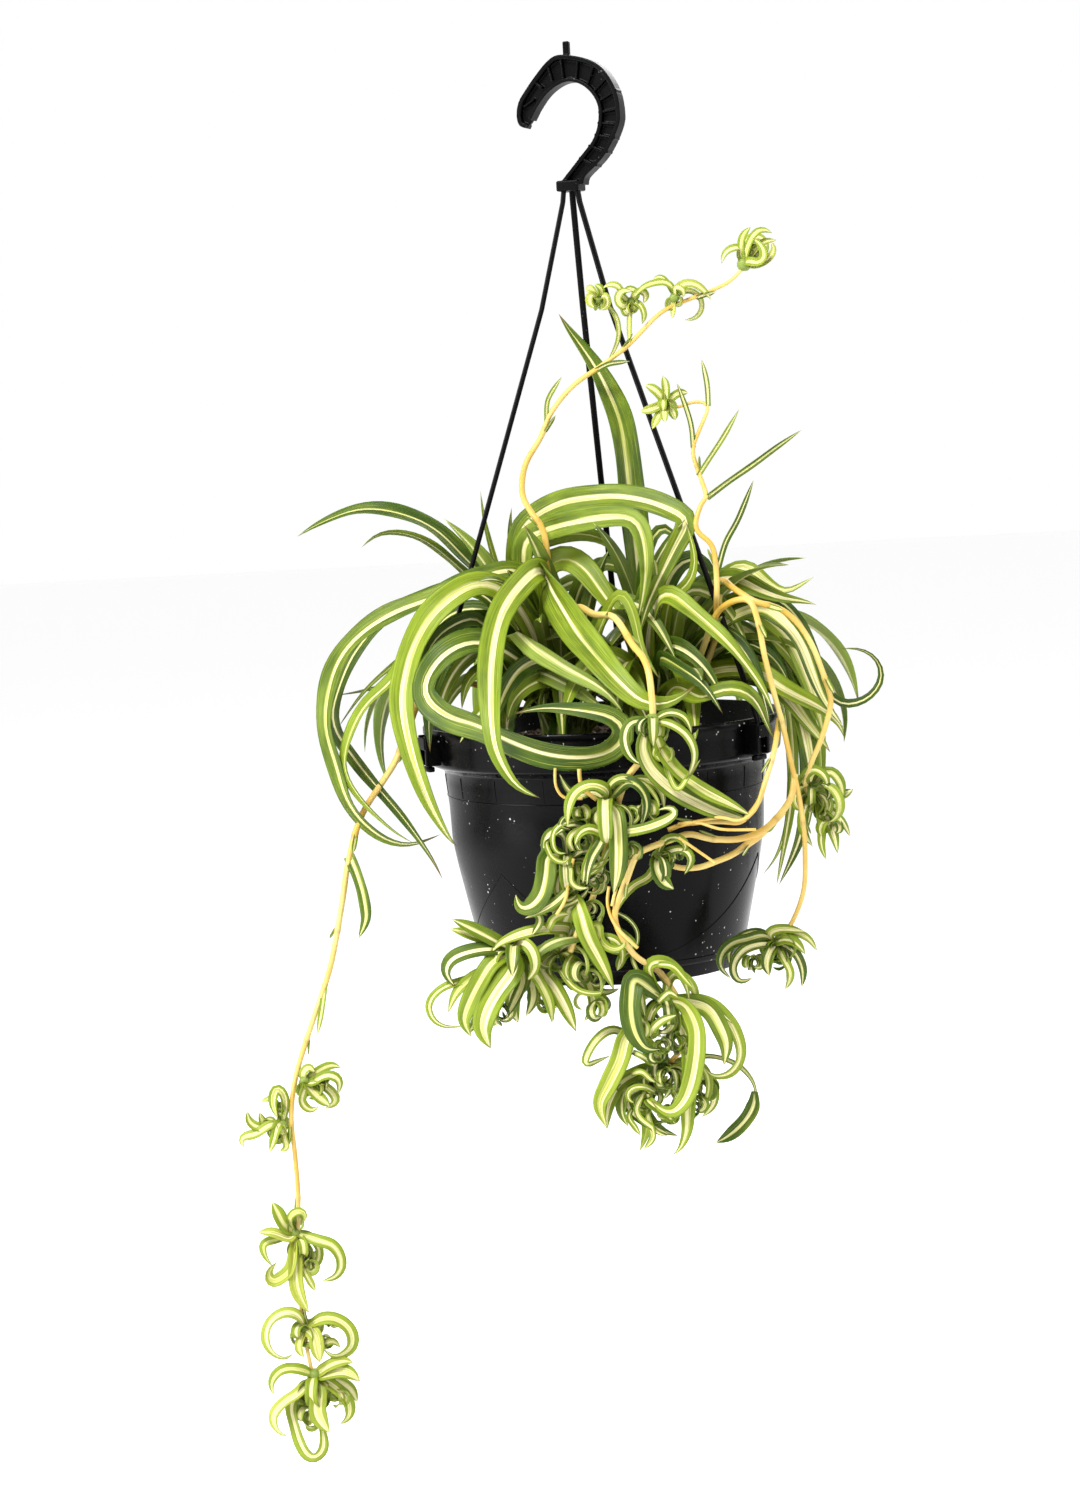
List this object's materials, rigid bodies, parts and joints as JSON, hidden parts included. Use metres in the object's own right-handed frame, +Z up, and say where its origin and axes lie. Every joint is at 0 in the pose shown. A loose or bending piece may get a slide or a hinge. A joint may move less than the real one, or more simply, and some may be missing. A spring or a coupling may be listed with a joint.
{
  "type": "potted spider plant",
  "caption": "Spider plant with striped strap leaves and trailing runners of plantlets, in a round black hanging pot with a flat-armed hanger and a ribbed hook.",
  "frame": {"origin": "the point inside the hook that bears on whatever the pot hangs from", "axes": "+Z up along the pot's axis, -Y the side the plant shows in the picture, +X to the right of that view"},
  "size_m": [0.325, 0.2703, 0.6949],
  "materials": {
    "black_plastic": "satin injection-moulded plastic with light dust",
    "potting_mix": "dark crumbly peat and bark",
    "leaf": "satin leaf, green margins and a cream middle stripe",
    "runner_stem": "satin golden-yellow stem"
  },
  "bodies": {
    "root": {"hook": "black_plastic", "hanger_arm_left": "black_plastic", "hanger_arm_right": "black_plastic", "hanger_arm_back": "black_plastic", "pot": "black_plastic", "potting_mix": "potting_mix", "mother_foliage": "leaf", "runner_upper": "runner_stem", "runner_zigzag": "runner_stem", "runner_front": "runner_stem", "runner_right_arch": "runner_stem", "runner_right_long": "runner_stem", "runner_low_thin": "runner_stem", "runner_low_middle": "runner_stem", "runner_low_thick": "runner_stem", "runner_left": "runner_stem", "plantlet_top_right": "leaf", "plantlet_upper": "leaf", "plantlet_bud_right": "leaf", "plantlet_bud_left": "leaf", "plantlet_star": "leaf", "plantlet_front": "leaf", "plantlets_right": "leaf", "plantlet_low_right": "leaf", "plantlet_cascade_top": "leaf", "plantlet_cascade_left": "leaf", "plantlet_cascade_right": "leaf", "plantlet_low_left": "leaf", "plantlet_low_middle": "leaf", "plantlet_low_front": "leaf", "plantlet_bottom": "leaf", "plantlet_runner_right": "leaf", "plantlet_runner_left": "leaf", "plantlet_runner_upper": "leaf", "plantlet_runner_lower": "leaf", "plantlet_runner_bottom": "leaf"}
  },
  "joints": []
}
